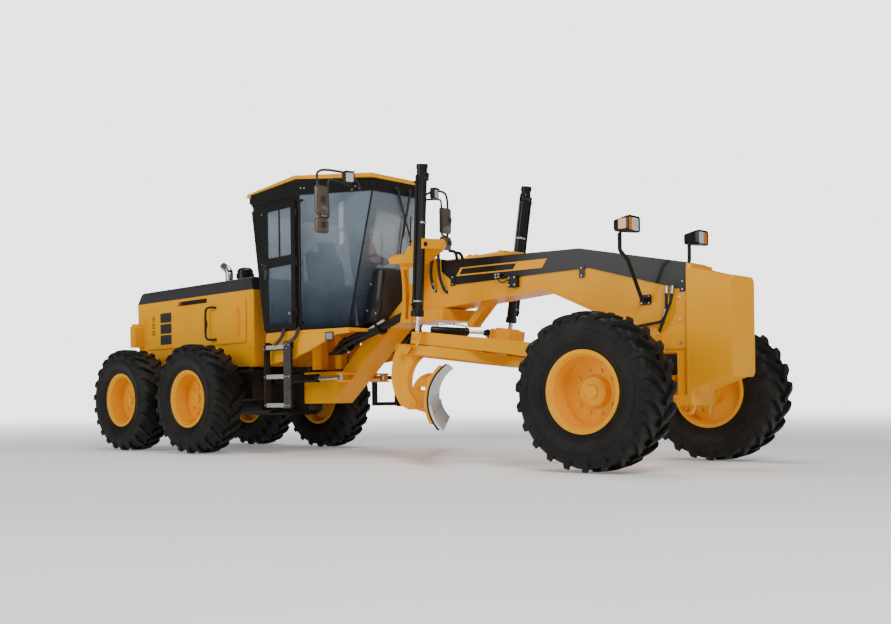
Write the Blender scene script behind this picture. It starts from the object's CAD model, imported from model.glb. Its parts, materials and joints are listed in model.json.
"""Motor grader: finishes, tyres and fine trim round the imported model."""

import json
import math

import bmesh
import bpy
import numpy as np
from bpy.props import FloatProperty, FloatVectorProperty, IntProperty, PointerProperty
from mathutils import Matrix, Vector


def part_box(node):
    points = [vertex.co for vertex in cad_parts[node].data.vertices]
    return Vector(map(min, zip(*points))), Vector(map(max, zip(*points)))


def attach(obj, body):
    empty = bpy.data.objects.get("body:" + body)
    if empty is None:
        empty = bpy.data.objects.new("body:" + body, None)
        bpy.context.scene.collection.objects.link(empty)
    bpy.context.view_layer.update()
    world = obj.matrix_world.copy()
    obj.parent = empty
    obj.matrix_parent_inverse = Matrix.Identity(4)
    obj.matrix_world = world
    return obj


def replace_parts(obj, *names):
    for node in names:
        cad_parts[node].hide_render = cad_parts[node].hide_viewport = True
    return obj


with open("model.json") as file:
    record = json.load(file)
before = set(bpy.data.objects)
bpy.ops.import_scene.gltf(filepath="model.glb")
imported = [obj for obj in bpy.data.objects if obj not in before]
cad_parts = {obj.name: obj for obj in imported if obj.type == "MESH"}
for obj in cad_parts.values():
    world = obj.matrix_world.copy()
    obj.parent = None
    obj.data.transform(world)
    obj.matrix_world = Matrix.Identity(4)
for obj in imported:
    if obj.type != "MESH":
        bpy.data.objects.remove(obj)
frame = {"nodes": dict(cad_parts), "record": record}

bl_info = {
    "name": "Motor grader dressing",
    "version": (1, 0, 0),
    "blender": (4, 5, 0),
    "location": "View3D > Sidebar > Grader",
    "description": "Paints the packed motor grader and adds its tyres, lamps, hoses, bolts and trim",
    "category": "Object",
}

WHEELS = tuple(name[5:] for name in sorted(frame["nodes"]) if name.startswith("tyre_"))
ALONG = np.array([1.0, 0.0, 0.0])
ACROSS = np.array([0.0, 1.0, 0.0])
UP = np.array([0.0, 0.0, 1.0])
# the moldboard at rest: directions square to its length and up its height, and a point on the axis of its arc
BLADE_ACROSS = np.array([0.76256, 0.63320, -0.13251])
BLADE_RISE = np.array([0.11466, 0.06930, 0.99098])
BLADE_AXIS = np.array([1.3470, 0.0598, 0.6441])


def corners(node):
    """The lowest and highest corner of a CAD node, as two arrays."""
    low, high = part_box(node)
    return np.array(low), np.array(high)


# Shapes ---------------------------------------------------------------------------------------
class Form:
    """Points and faces of one piece, gathered surface by surface. Whatever has two sides is built on the right
    one, at negative y, and then mirrored."""

    def __init__(self):
        self.points = []
        self.faces = []
        self.finishes = []
        self.count = 0

    def grid(self, points, closed=False, capped=False, finish=0):
        """A sheet of quads over points (rows, columns, 3); closed joins the last column to the first, capped
        shuts the first and last row with one face each."""
        rows, columns = points.shape[:2]
        index = np.arange(rows * columns).reshape(rows, columns) + self.count
        ring = np.concatenate([index, index[:, :1]], axis=1) if closed else index
        faces = list(np.stack([ring[:-1, :-1], ring[:-1, 1:], ring[1:, 1:], ring[1:, :-1]], axis=-1).reshape(-1, 4))
        if capped:
            faces += [index[0][::-1], index[-1]]
        self.points.append(points.reshape(-1, 3))
        self.faces += faces
        self.finishes += [finish] * len(faces)
        self.count += rows * columns

    def prism(self, outline, origin, x_dir, y_dir, depth, finish=0):
        """An outline (n, 2) on the plane of x_dir and y_dir, carried along their cross product by depth."""
        outline = np.asarray(outline, float)
        flat = origin + outline[:, :1] * x_dir + outline[:, 1:] * y_dir
        self.grid(np.stack([flat, flat + np.cross(x_dir, y_dir) * depth]), closed=True, capped=True, finish=finish)

    def block(self, low, high, finish=0):
        """An upright block between its lowest and its highest corner."""
        long, wide, tall = np.subtract(high, low)
        self.prism([(0, 0), (long, 0), (long, wide), (0, wide)], np.asarray(low), ALONG, ACROSS, tall, finish)

    def turned(self, profile, centre, axis, sides=32, finish=0, capped=True):
        """A profile (n, 2) of radius and height turned round axis: centre + height axis + radius (cos, sin)."""
        profile = np.asarray(profile, float)[:, :, None, None]
        ring = profile[:, 0] * circle(axis, sides) + profile[:, 1] * unit(axis)
        self.grid(centre + ring, closed=True, capped=capped, finish=finish)

    def tube(self, path, radius, sides=12, finish=0):
        """A circle of that radius carried along path: each point plus radius (cos side + sin lift)."""
        path = np.asarray(path, float)
        tangent = unit(np.gradient(path, axis=0))
        side = unit(np.cross(tangent, np.eye(3)[np.argmin(np.abs(tangent).max(axis=0))]))
        lift = np.cross(side, tangent)
        angle = np.linspace(0, 2 * np.pi, sides, endpoint=False)[:, None]
        ring = np.cos(angle) * side[:, None] + np.sin(angle) * lift[:, None]
        radius = np.broadcast_to(radius, len(path))[:, None, None]
        self.grid(path[:, None] + radius * ring, closed=True, capped=True, finish=finish)

    def studs(self, centres, axis, radius, height, finish=0):
        """A small chamfered hexagon at each centre, along axis."""
        profile = [(radius, -0.2 * height), (radius, 0.75 * height), (0.82 * radius, height)]
        for centre in centres:
            self.turned(profile, centre, axis, 6, finish)

    def mirrored(self):
        """The same form on the other side of the machine: y changes its sign."""
        other = Form()
        other.points = [points * (1, -1, 1) for points in self.points]
        other.faces, other.finishes, other.count = self.faces, self.finishes, self.count
        return other

    def mirror(self):
        """Adds all that is there so far on the other side of the machine as well."""
        self.points += self.mirrored().points
        self.faces += [face + self.count for face in self.faces]
        self.finishes *= 2
        self.count *= 2


def unit(vector):
    """The vector, or each row of vectors, divided by its length."""
    vector = np.asarray(vector, float)
    return vector / np.linalg.norm(vector, axis=-1, keepdims=True)


def circle(axis, sides):
    """Unit vectors (sides, 3) round axis, evenly spaced: cos across + sin other, where across and other stand
    square to the axis and to each other."""
    axis = unit(axis)
    across = unit(np.cross(np.eye(3)[np.argmin(np.abs(axis))], axis))
    other = np.cross(axis, across)
    angle = np.linspace(0, 2 * np.pi, sides, endpoint=False)[:, None]
    return np.cos(angle) * across + np.sin(angle) * other


def smooth_path(points, steps=8):
    """A smooth line through points: each span blends its four nearest points with the cubic of Catmull and Rom."""
    points = np.asarray(points, float)
    padded = np.vstack([2 * points[0] - points[1], points, 2 * points[-1] - points[-2]])
    t = np.linspace(0, 1, steps, endpoint=False)[None, :, None]
    a, b, c, d = (padded[i:len(padded) - 3 + i, None] for i in range(4))
    spans = 0.5 * (2 * b + (c - a) * t + (2 * a - 5 * b + 4 * c - d) * t ** 2 + (3 * b - a - 3 * c + d) * t ** 3)
    return np.vstack([spans.reshape(-1, 3), points[-1]])


def rounded(width, height, radius, steps=5):
    """The outline of a rectangle with round corners: a quarter circle at each corner, in order."""
    angle = np.linspace(0, np.pi / 2, steps)
    parts = [
        np.stack([
            sx * (width / 2 - radius) + radius * np.cos(angle + turn),
            sy * (height / 2 - radius) + radius * np.sin(angle + turn),
        ], axis=1)
        for sx, sy, turn in ((1, 1, 0), (-1, 1, np.pi / 2), (-1, -1, np.pi), (1, -1, 1.5 * np.pi))
    ]
    return np.vstack(parts)


def make(name, form, body, finishes, bevel=0.0, sharp=35):
    """Turns a form into a piece on a body, in the finishes of those names: merges its points, turns its faces
    outwards, shades it smooth up to the sharp angle and rounds its edges by bevel."""
    mesh = bpy.data.meshes.new(name)
    mesh.from_pydata(np.vstack(form.points).tolist(), [], [face.tolist() for face in form.faces])
    mesh.polygons.foreach_set("material_index", np.array(form.finishes, dtype=np.int32))
    for finish in finishes:
        mesh.materials.append(FINISHES[finish])
    work = bmesh.new()
    work.from_mesh(mesh)
    bmesh.ops.remove_doubles(work, verts=work.verts, dist=1e-6)
    bmesh.ops.recalc_face_normals(work, faces=work.faces)
    work.to_mesh(mesh)
    work.free()
    mesh.polygons.foreach_set("use_smooth", np.ones(len(mesh.polygons), dtype=bool))
    mesh.set_sharp_from_angle(angle=math.radians(sharp))
    mesh.update()
    piece = bpy.data.objects.new(name, mesh)
    bpy.context.scene.collection.objects.link(piece)
    if bevel:
        edge = piece.modifiers.new("edge", "BEVEL")
        edge.width = bevel
        edge.segments = 2
        edge.limit_method = "ANGLE"
        edge.angle_limit = math.radians(40)
        edge.harden_normals = True
    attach(piece, body)
    return piece


def make_pair(name, form, body, finishes, bevel):
    """Makes a form on the right body and its mirror image on the left one."""
    make(name + "right", form, body + "right", finishes, bevel)
    make(name + "left", form.mirrored(), body + "left", finishes, bevel)


# Finishes -------------------------------------------------------------------------------------
class Wire:
    """One output of a finish's nodes. Its operators add Math nodes."""

    def __init__(self, finish, socket):
        self.finish = finish
        self.socket = socket

    def maths(self, operation, *values):
        return self.finish.node("ShaderNodeMath", {"operation": operation}, dict(enumerate(values)))

    def __add__(self, other):
        return self.maths("ADD", self, other)

    def __sub__(self, other):
        return self.maths("SUBTRACT", self, other)

    def __mul__(self, other):
        return self.maths("MULTIPLY", self, other)

    def __pow__(self, other):
        return self.maths("POWER", self, other)

    def span(self, low, high, to_low=0.0, to_high=1.0):
        """The value carried from low..high to to_low..to_high and held there."""
        return self.finish.node(
            "ShaderNodeMapRange", {"clamp": True},
            {"Value": self, "From Min": low, "From Max": high, "To Min": to_low, "To Max": to_high},
        )


class Finish:
    """A material under work: its node tree, and the object coordinates that its patterns read."""

    def __init__(self, name):
        self.material = bpy.data.materials.new(name)
        self.material.use_nodes = True
        self.tree = self.material.node_tree
        self.tree.nodes.clear()
        self.place = self.node("ShaderNodeTexCoord", output="Object")

    def node(self, kind, settings=None, sockets=None, output=0):
        """Adds one node: its settings first, then the values or wires of its sockets."""
        made = self.tree.nodes.new(kind)
        for key, value in (settings or {}).items():
            setattr(made, key, value)
        for key, value in (sockets or {}).items():
            socket = made.inputs[key]
            if isinstance(value, Wire):
                self.tree.links.new(value.socket, socket)
            elif socket.type == "RGBA" and len(value) == 3:
                socket.default_value = (*value, 1.0)
            else:
                socket.default_value = value
        return Wire(self, made.outputs[output])

    def stretched(self, scale=(1, 1, 1), turn=(0, 0, 0)):
        """Object coordinates turned and scaled along each axis."""
        return self.node("ShaderNodeMapping", {}, {"Vector": self.place, "Scale": scale, "Rotation": turn})

    def noise(self, scale, detail=4.0, rough=0.55, place=None):
        """Fractal noise, mostly from 0.3 to 0.7."""
        return self.node(
            "ShaderNodeTexNoise", {"noise_dimensions": "3D"},
            {"Vector": place or self.place, "Scale": scale, "Detail": detail, "Roughness": rough},
        )

    def cells(self, scale):
        """The distance to the nearest of many scattered points."""
        return self.node("ShaderNodeTexVoronoi", {"feature": "F1"}, {"Vector": self.place, "Scale": scale})

    def waves(self, scale, direction, distortion=0.0):
        """Even bands square to one axis."""
        return self.node(
            "ShaderNodeTexWave", {"wave_type": "BANDS", "bands_direction": direction},
            {"Vector": self.place, "Scale": scale, "Distortion": distortion}, output="Fac",
        )

    def axis(self, name):
        """One coordinate of the place: X, Y or Z."""
        return self.node("ShaderNodeSeparateXYZ", {}, {"Vector": self.place}, output=name)

    def along(self, direction):
        """The place's distance along a direction."""
        sockets = {0: self.place, 1: direction.tolist()}
        return self.node("ShaderNodeVectorMath", {"operation": "DOT_PRODUCT"}, sockets, output="Value")

    def reach(self):
        """The place's distance from the origin."""
        return self.node("ShaderNodeVectorMath", {"operation": "LENGTH"}, {0: self.place}, output="Value")

    def blend(self, factor, first, second):
        """The first colour where the factor is 0, the second where it is 1."""
        return self.node("ShaderNodeMix", {"data_type": "RGBA"}, {0: factor, 6: first, 7: second}, output=2)

    def varied(self, factor, colour, dark, light):
        """A colour between its tints by dark and by light, as the factor goes from 0.3 to 0.7."""
        return self.blend(factor.span(0.3, 0.7), tint(colour, dark), tint(colour, light))

    def bumped(self, height, strength, distance):
        """The normal, tilted as if the surface rose by height times distance."""
        return self.node("ShaderNodeBump", {}, {"Height": height, "Strength": strength, "Distance": distance})

    def surface(self, **sockets):
        """Ends the finish in a Principled shader; the names of its sockets have _ for blanks."""
        names = {key.replace("_", " "): value for key, value in sockets.items()}
        shader = self.node("ShaderNodeBsdfPrincipled", {}, names)
        end = self.tree.nodes.new("ShaderNodeOutputMaterial")
        self.tree.links.new(shader.socket, end.inputs["Surface"])
        return self.material


def tint(colour, factor):
    """A colour made lighter or darker by a factor."""
    return tuple(min(1.0, channel * factor) for channel in colour)


def painted(name, colour, rough=0.34, coat=0.12, dust=0.5, dust_colour=(0.30, 0.26, 0.20), chips=0.0):
    """Paint on plate: broad and fine variation, dust that gathers low down, a slight orange-peel bump, and
    small chips."""
    f = Finish(name)
    broad = f.noise(0.9, 3.0)
    fine = f.noise(24.0, 6.0, 0.62)
    speck = f.noise(180.0, 3.0, 0.7)
    streak = f.noise(5.0, 5.0, 0.6, place=f.stretched((1.0, 1.0, 0.16)))
    base = f.blend(broad.span(0.32, 0.68), tint(colour, 0.90), tint(colour, 1.06))
    base = f.blend(streak.span(0.45, 0.75) * 0.22, base, tint(colour, 0.72))
    low = f.axis("Z").span(0.25, 1.6, 1.0, 0.18)
    grime = (fine * 0.75 + broad * 0.45).span(0.52, 0.86) * low * dust
    base = f.blend(grime, base, dust_colour)
    rough_now = fine.span(0.3, 0.75, rough - 0.05, rough + 0.10) + grime * 0.4
    if chips:
        worn = (speck * 0.45 + fine * 0.75).span(0.74, 0.76) * chips
        base = f.blend(worn, base, (0.16, 0.15, 0.14))
        rough_now = rough_now + worn * 0.3
    skin = f.noise(420.0, 2.0) * 0.35 + fine * 0.65
    return f.surface(
        Base_Color=base, Roughness=rough_now, Metallic=0.0, Coat_Weight=coat, Coat_Roughness=0.12,
        Specular_IOR_Level=0.15, Normal=f.bumped(skin, 0.12, 0.0012),
    )


def bare_metal(name, colour, rough, metallic, stretch=(1, 1, 1), rust=0.0, bump=0.2):
    """Bare or worn metal: drawn streaks along one axis, scuffs and a touch of rust."""
    f = Finish(name)
    streak = f.noise(60.0, 5.0, 0.6, place=f.stretched(stretch))
    broad = f.noise(2.6, 5.0, 0.6)
    scuff = f.noise(14.0, 6.0, 0.65)
    base = f.varied(streak, colour, 0.84, 1.08)
    base = f.blend(broad.span(0.50, 0.72) * 0.35, base, tint(colour, 0.6))
    if rust:
        base = f.blend((scuff * 0.6 + broad * 0.5).span(0.60, 0.74) * rust, base, (0.20, 0.085, 0.035))
    return f.surface(
        Base_Color=base, Metallic=metallic,
        Roughness=streak.span(0.25, 0.75, rough - 0.08, rough + 0.10) + broad.span(0.5, 0.8, 0.0, 0.14),
        Normal=f.bumped(streak * 0.5 + scuff * 0.5, bump, 0.001),
    )


def blade_finish(name, colour, edge, back):
    """The moldboard's finish, by distance from the axis of its arc: bare steel on the hollow face, a dark band on
    the ends of the plate, paint on the ribs and rails behind. The steel has streaks along the blade and scuffs."""
    f = Finish(name)
    streak = f.noise(60.0, 5.0, 0.6, place=f.stretched((0.12, 0.12, 1.0), (0, 0, math.radians(-50))))
    scuff = f.noise(14.0, 6.0, 0.65)
    broad = f.noise(2.6, 5.0, 0.6)
    steel = f.varied(streak, colour, 0.88, 1.06)
    steel = f.blend(broad.span(0.50, 0.72) * 0.22, steel, tint(colour, 0.66))
    across = f.along(BLADE_ACROSS) - float(BLADE_ACROSS @ BLADE_AXIS)
    rise = f.along(BLADE_RISE) - float(BLADE_RISE @ BLADE_AXIS)
    radius = (across * across + rise * rise) ** 0.5
    paint = f.varied(broad, back, 0.85, 1.04)
    base = f.blend(radius.span(0.4025, 0.4035), steel, tint(edge, 1.2))
    base = f.blend(radius.span(0.4200, 0.4215), base, paint)
    return f.surface(
        Base_Color=base, Metallic=0.0, Roughness=streak.span(0.25, 0.75, 0.34, 0.52), Specular_IOR_Level=0.3,
        Normal=f.bumped(streak * 0.5 + scuff * 0.5, 0.2, 0.001),
    )


def rubber(name, colour, dust=0.45):
    """Tyre rubber: a dull black with pale dust in its hollows, and fine pores."""
    f = Finish(name)
    fine = f.noise(55.0, 6.0, 0.65)
    broad = f.noise(4.0, 4.0, 0.6)
    pores = f.cells(260.0)
    base = f.varied(fine, colour, 0.7, 1.35)
    base = f.blend((broad * 0.6 + fine * 0.5).span(0.5, 0.72) * dust, base, (0.050, 0.047, 0.040))
    return f.surface(
        Base_Color=base, Roughness=fine.span(0.3, 0.75, 0.45, 0.70), Metallic=0.0, Specular_IOR_Level=0.25,
        Normal=f.bumped(pores * 0.4 + fine * 0.6, 0.35, 0.0015),
    )


def tinted_glass(name, low_colour, high_colour, alpha, low_z, high_z):
    """Tinted pane: its colour runs from a deep tone at the foot to a pale one above, with faint dust."""
    f = Finish(name)
    film = f.noise(6.0, 5.0, 0.6)
    rise = (f.axis("Z") + film * 0.25).span(low_z, high_z)
    base = f.blend(rise, low_colour, high_colour)
    return f.surface(
        Base_Color=base, Roughness=film.span(0.35, 0.8, 0.03, 0.12), Metallic=0.0, IOR=1.45,
        Alpha=film.span(0.3, 0.8, alpha - 0.03, alpha + 0.07), Coat_Weight=0.6, Coat_Roughness=0.03,
        Normal=f.bumped(film, 0.02, 0.001),
    )


def lens(name, colour):
    """Moulded lamp lens: fine upright ribs under a clear face."""
    f = Finish(name)
    ribbed = f.waves(90.0, "Y")
    cloud = f.noise(40.0, 4.0)
    base = f.varied(cloud, colour, 0.82, 1.12)
    base = f.blend(ribbed * 0.28, base, tint(colour, 0.55))
    return f.surface(
        Base_Color=base, Roughness=cloud.span(0.3, 0.7, 0.08, 0.18), Metallic=0.0, Coat_Weight=0.8,
        Coat_Roughness=0.04, Normal=f.bumped(ribbed, 0.35, 0.002),
    )


def moulded(name, colour):
    """Moulded plastic: a fine leather grain and slight fading."""
    f = Finish(name)
    pits = f.cells(380.0)
    broad = f.noise(3.0, 4.0)
    fine = f.noise(70.0, 4.0)
    base = f.varied(broad, colour, 0.8, 1.3)
    base = f.blend(fine.span(0.62, 0.8) * 0.3, base, (0.16, 0.15, 0.13))
    return f.surface(
        Base_Color=base, Roughness=broad.span(0.3, 0.7, 0.49, 0.65), Metallic=0.0,
        Normal=f.bumped(pits, 0.25, 0.0008),
    )


def woven(name, colour):
    """Seat cloth: two crossed sets of threads over a soft nap."""
    f = Finish(name)
    weave = f.waves(220.0, "X", 0.6) * 0.5 + f.waves(220.0, "Y", 0.6) * 0.5
    nap = f.noise(30.0, 5.0)
    base = f.blend(weave, tint(colour, 0.6), tint(colour, 1.4))
    base = f.blend(nap.span(0.4, 0.7) * 0.35, base, tint(colour, 1.9))
    return f.surface(
        Base_Color=base, Roughness=nap.span(0.3, 0.7, 0.82, 0.95), Metallic=0.0,
        Normal=f.bumped(weave, 0.4, 0.0008),
    )


def floor_finish(name, colour):
    """The studio floor: an even pale grey with the faintest mottling, which glows more and more from 6 m out, so
    that it meets the backdrop without a line."""
    f = Finish(name)
    mottle = f.noise(1.2, 3.0)
    base = f.varied(mottle, colour, 0.985, 1.01)
    far = f.reach().span(6.0, 30.0)
    glow = f.blend(far, tint(colour, 0.09), (1.0, 1.0, 1.0))
    return f.surface(Base_Color=base, Roughness=mottle.span(0.3, 0.7, 0.75, 0.85), Metallic=0.0,
                     Emission_Color=glow, Emission_Strength=2.6, Specular_IOR_Level=0.1,
                     Normal=f.bumped(mottle, 0.01, 0.001))


# Sizes and colours that a user would change ---------------------------------------------------
def colour_of(name, description, default):
    return FloatVectorProperty(name=name, description=description, default=default, subtype="COLOR", min=0, max=1)


def length_of(name, description, default, least):
    return FloatProperty(name=name, description=description, default=default, min=least, unit="LENGTH")


class GraderPaint(bpy.types.PropertyGroup):
    yellow: colour_of("Body yellow", "Colour of the machine's main paint", (0.98, 0.42, 0.0))
    black: colour_of("Trim black", "Colour of the cab frame, the underside and the ladders", (0.010, 0.0095, 0.009))
    grey: colour_of("Cover grey", "Colour of the valve cover, the grille and the louvres", (0.050, 0.050, 0.049))
    blade: colour_of("Blade grey", "Colour of the moldboard's face", (0.74, 0.735, 0.72))
    rubber: colour_of("Tyre black", "Colour of the tyres", (0.0055, 0.0055, 0.0048))
    glass_low: colour_of("Glass, low", "Tint at the foot of the panes", (0.007, 0.020, 0.048))
    glass_high: colour_of("Glass, high", "Tint at the top of the panes", (0.23, 0.29, 0.35))


class GraderTyre(bpy.types.PropertyGroup):
    lugs: IntProperty(name="Lugs a side", description="Number of lugs on each half of the tread", default=22, min=8)
    lug_width: length_of("Lug width", "Width of one lug along the tread", 0.052, 0.01)
    lug_height: length_of("Lug height", "Height of the lugs over the tread", 0.033, 0.005)


class GraderTrim(bpy.types.PropertyGroup):
    bolt_radius: length_of("Bolt radius", "Radius of the larger bolt heads", 0.014, 0.002)
    hose_radius: length_of("Hose radius", "Radius of the hydraulic hoses", 0.015, 0.002)


FINISHES = {}


def paint_all(paint):
    """Makes every finish once, by name."""
    FINISHES.update(
        yellow_paint=painted("yellow_paint", tuple(paint.yellow), coat=0.05, dust=0.16, chips=0.2),
        black_paint=painted("black_paint", tuple(paint.black), rough=0.42, coat=0.25, dust=0.30,
                            dust_colour=(0.11, 0.10, 0.085)),
        cap_grey=painted("cap_grey", (0.040, 0.037, 0.043), rough=0.40, coat=0.2, dust=0.2),
        grey_paint=painted("grey_paint", tuple(paint.grey), rough=0.45, coat=0.1, dust=0.35),
        blade_steel=blade_finish("blade_steel", tuple(paint.blade), tuple(paint.black), tuple(paint.yellow)),
        chrome_rod=bare_metal("chrome_rod", (0.78, 0.79, 0.80), 0.16, 1.0, (1.0, 1.0, 0.1), bump=0.03),
        tyre_rubber=rubber("tyre_rubber", tuple(paint.rubber), dust=0.30),
        cab_glass=tinted_glass("cab_glass", tuple(paint.glass_low), tuple(paint.glass_high), 0.62, 1.55, 2.75),
        cast_iron=bare_metal("cast_iron", (0.10, 0.10, 0.098), 0.62, 0.4, rust=0.25, bump=0.4),
        seat_cloth=woven("seat_cloth", (0.045, 0.047, 0.052)),
        dark_plastic=moulded("dark_plastic", (0.020, 0.020, 0.020)),
        clear_lens=lens("clear_lens", (0.72, 0.73, 0.72)),
        amber_lens=lens("amber_lens", (0.85, 0.24, 0.01)),
        red_lens=lens("red_lens", (0.48, 0.012, 0.010)),
        bolt_steel=bare_metal("bolt_steel", (0.52, 0.52, 0.51), 0.34, 0.9, rust=0.10),
        hose_rubber=rubber("hose_rubber", (0.017, 0.017, 0.017), dust=0.15),
        mirror_back=painted("mirror_back", (0.115, 0.088, 0.072), rough=0.16, coat=0.6, dust=0.2),
        mirror_silver=bare_metal("mirror_silver", (0.86, 0.87, 0.88), 0.10, 1.0, bump=0.01),
        step_metal=bare_metal("step_metal", (0.50, 0.50, 0.49), 0.40, 0.5, rust=0.05),
        pipe_metal=bare_metal("pipe_metal", (0.70, 0.68, 0.65), 0.22, 1.0, (1.0, 1.0, 0.2), bump=0.05),
        marker_grey=painted("marker_grey", (0.30, 0.30, 0.31), rough=0.3, coat=0.4, dust=0.1),
        warn_red=painted("warn_red", (0.52, 0.02, 0.015), dust=0.15),
    )


class GRADER_OT_finishes(bpy.types.Operator):
    """Gives every CAD node the finish of its material slot"""

    bl_idname = "grader.finishes"
    bl_label = "Finish the frame"

    def execute(self, context):
        paint_all(context.scene.grader_paint)
        slots = {part["node"]: part["material_slot"] for part in frame["record"]["subparts"]}
        # these three are darker than their slot: a grey cap on the hood, and a black underside
        slots.update(hood_cap="cap_grey", tandem_cases="black_paint", rear_frame="black_paint")
        for name, node in frame["nodes"].items():
            for material_slot in node.material_slots:
                material_slot.link = "OBJECT"
                material_slot.material = FINISHES[slots[name]]
        return {"FINISHED"}


# Tyres ----------------------------------------------------------------------------------------
TYRE_RADIUS = 0.6735
# widths along the tread are measured at this radius; a lug's slant is an angle round the axle
PITCH_RADIUS = 0.675
LUG_SLANT = 0.150 / PITCH_RADIUS
TYRE_STEPS = 96
# distance from the middle plane, radius: half of the carcass section from the bead to the crown
TYRE_SECTION = np.array([
    (0.150, 0.322), (0.163, 0.330), (0.167, 0.356), (0.180, 0.374), (0.199, 0.405), (0.215, 0.448),
    (0.221, 0.495), (0.219, 0.540), (0.213, 0.580), (0.206, 0.606), (0.190, 0.625), (0.150, 0.634), (0.080, 0.640),
])
# a moulded rib across the sidewall: radius, height
RIB = np.array([(-0.006, -0.01), (-0.003, 0), (0.003, 0), (0.006, -0.01), (-0.006, -0.01)])
# one lug from the middle plane out: distance, share of the top radius, share of its slant, share of its width
LUG = np.array([
    (0.008, 1.0, 0.0, 1.0), (0.070, 1.0, 0.30, 1.0), (0.140, 0.998, 0.68, 1.1), (0.190, 0.985, 0.93, 1.25),
    (0.213, 0.955, 1.0, 1.3), (0.2215, 0.900, 1.02, 1.25), (0.2225, 0.845, 1.03, 1.05),
])


class GRADER_OT_tyres(bpy.types.Operator):
    """Replaces each tyre by one with a rounded section and slanted lugs in a chevron"""

    bl_idname = "grader.tyres"
    bl_label = "Tyres"

    def execute(self, context):
        sizes = context.scene.grader_tyre
        section = np.vstack([
            TYRE_SECTION, [(0, 0.641)], TYRE_SECTION[::-1] * (-1, 1), [(-0.150, 0.320), (0.150, 0.320)],
        ])
        angle = np.linspace(0, 2 * np.pi, TYRE_STEPS, endpoint=False)
        ring = np.stack([
            section[:, 1, None] * np.cos(angle), np.broadcast_to(section[:, 0, None], (len(section), TYRE_STEPS)),
            section[:, 1, None] * np.sin(angle),
        ], axis=-1)
        top = TYRE_RADIUS * LUG[:, 1]
        floor = np.minimum(top - 0.02, TYRE_RADIUS - sizes.lug_height - 0.012)
        half = LUG[:, 3] * sizes.lug_width / 2 / PITCH_RADIUS
        for wheel in WHEELS:
            middle = sum(corners("tyre_" + wheel)) / 2
            form = Form()
            form.grid(middle + np.concatenate([ring, ring[:1]]), closed=True)
            for side in (-1, 1):
                for radius, out in ((0.520, 0.2233), (0.400, 0.2008)):
                    at = middle + ACROSS * side * out
                    form.turned(RIB + (radius, 0), at, ACROSS * side, TYRE_STEPS, capped=False)
                # lugs: each corner stands at its slant plus or minus its half width
                start = np.linspace(0, 2 * np.pi, sizes.lugs, endpoint=False) + (side + 1) * np.pi / 2 / sizes.lugs
                for first in start:
                    slant = first + LUG[:, 2] * LUG_SLANT
                    corner = np.stack([
                        np.stack([slant + half * share, radius], -1)
                        for share, radius in ((-1.18, floor), (-0.86, top), (0.86, top), (1.18, floor))
                    ], axis=1)
                    out = np.broadcast_to(LUG[:, 0, None], corner.shape[:2]).copy()
                    out[:, (0, 3)] = np.minimum(out[:, (0, 3)], 0.214)
                    form.grid(middle + np.stack([
                        corner[..., 1] * np.cos(corner[..., 0]), side * out, corner[..., 1] * np.sin(corner[..., 0]),
                    ], axis=-1), closed=True, capped=True)
            piece = make("tread_" + wheel, form, "wheel_" + wheel, ["tyre_rubber"], sharp=40)
            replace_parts(piece, "tyre_" + wheel)
        return {"FINISHED"}


# Lamps ----------------------------------------------------------------------------------------
class GRADER_OT_lamps(bpy.types.Operator):
    """Adds the lenses of the head and rear lamps"""

    bl_idname = "grader.lamps"
    bl_label = "Lamps"

    def execute(self, context):
        form = Form()
        x, _, z = corners("head_lamps")[1] - (0, 0, 0.070)
        form.prism(rounded(0.100, 0.112, 0.012), (x - 0.016, -0.580, z), ACROSS, UP, 0.010)
        form.prism(rounded(0.052, 0.112, 0.012), (x - 0.016, -0.664, z), ACROSS, UP, 0.011, 1)
        form.prism(rounded(0.080, 0.090, 0.012), (x - 0.060, -0.7035, z), ALONG, UP, 0.006, 1)
        form.mirror()
        make("head_lamp_lenses", form, "front_body", ["clear_lens", "amber_lens"], bevel=0.003)

        form = Form()
        low, high = corners("rear_lamps")
        for finish, level in ((1, -0.0675), (0, 0.0675)):
            at = (low[0] + 0.0005, 0.075 - high[1], (low[2] + high[2]) / 2 + level)
            form.turned([(0, 0), (0.040, 0), (0.040, -0.002), (0.034, -0.006), (0, -0.008)], at, ALONG, 28, finish)
        form.mirror()
        make("rear_lamp_lenses", form, "rear_body", ["red_lens", "amber_lens"])
        return {"FINISHED"}


# Cab ------------------------------------------------------------------------------------------
CAB_FLOOR, GLASS_FOOT, GLASS_HEAD, DOOR_HEAD = 1.436, 1.475, 2.975, 2.880
# the ends of the cab at this height, and how far they lean out per metre above it
CAB_LEVEL, CAB_REAR, CAB_FRONT = 1.45, -1.055, 0.070
REAR_LEAN, FRONT_LEAN = 0.158, 0.164
# the cab is widest at the door posts and narrows by these slopes behind and ahead of them
DOOR_POST_X, HALF_WIDTH = -0.430, 0.850
REAR_SLOPE, FRONT_SLOPE = 0.06, 0.63
ROOF_CORNERS = np.array([(-1.465, -0.750), (-0.465, -0.860), (0.360, -0.435)])


def both_sides(points):
    """Points (n, 2 or 3) on the right side, followed by their mirror images in reverse, as one closed outline."""
    points = np.asarray(points, float)
    other = points[::-1].copy()
    other[:, 1] *= -1
    return np.vstack([points, other])


def cab_outline(height, inset=0.0):
    """The cab's six corners at a height: the rear wall leans back and the windscreen forward as they rise, and
    each side runs straight from the door post to both."""
    rear = CAB_REAR - REAR_LEAN * (height - CAB_LEVEL) + inset
    front = CAB_FRONT + FRONT_LEAN * (height - CAB_LEVEL) - inset
    side = inset - HALF_WIDTH
    return both_sides([
        (rear, side + REAR_SLOPE * (DOOR_POST_X - rear), height), (DOOR_POST_X, side, height),
        (front, side + FRONT_SLOPE * (front - DOOR_POST_X) + 0.18 * inset, height),
    ])


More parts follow.
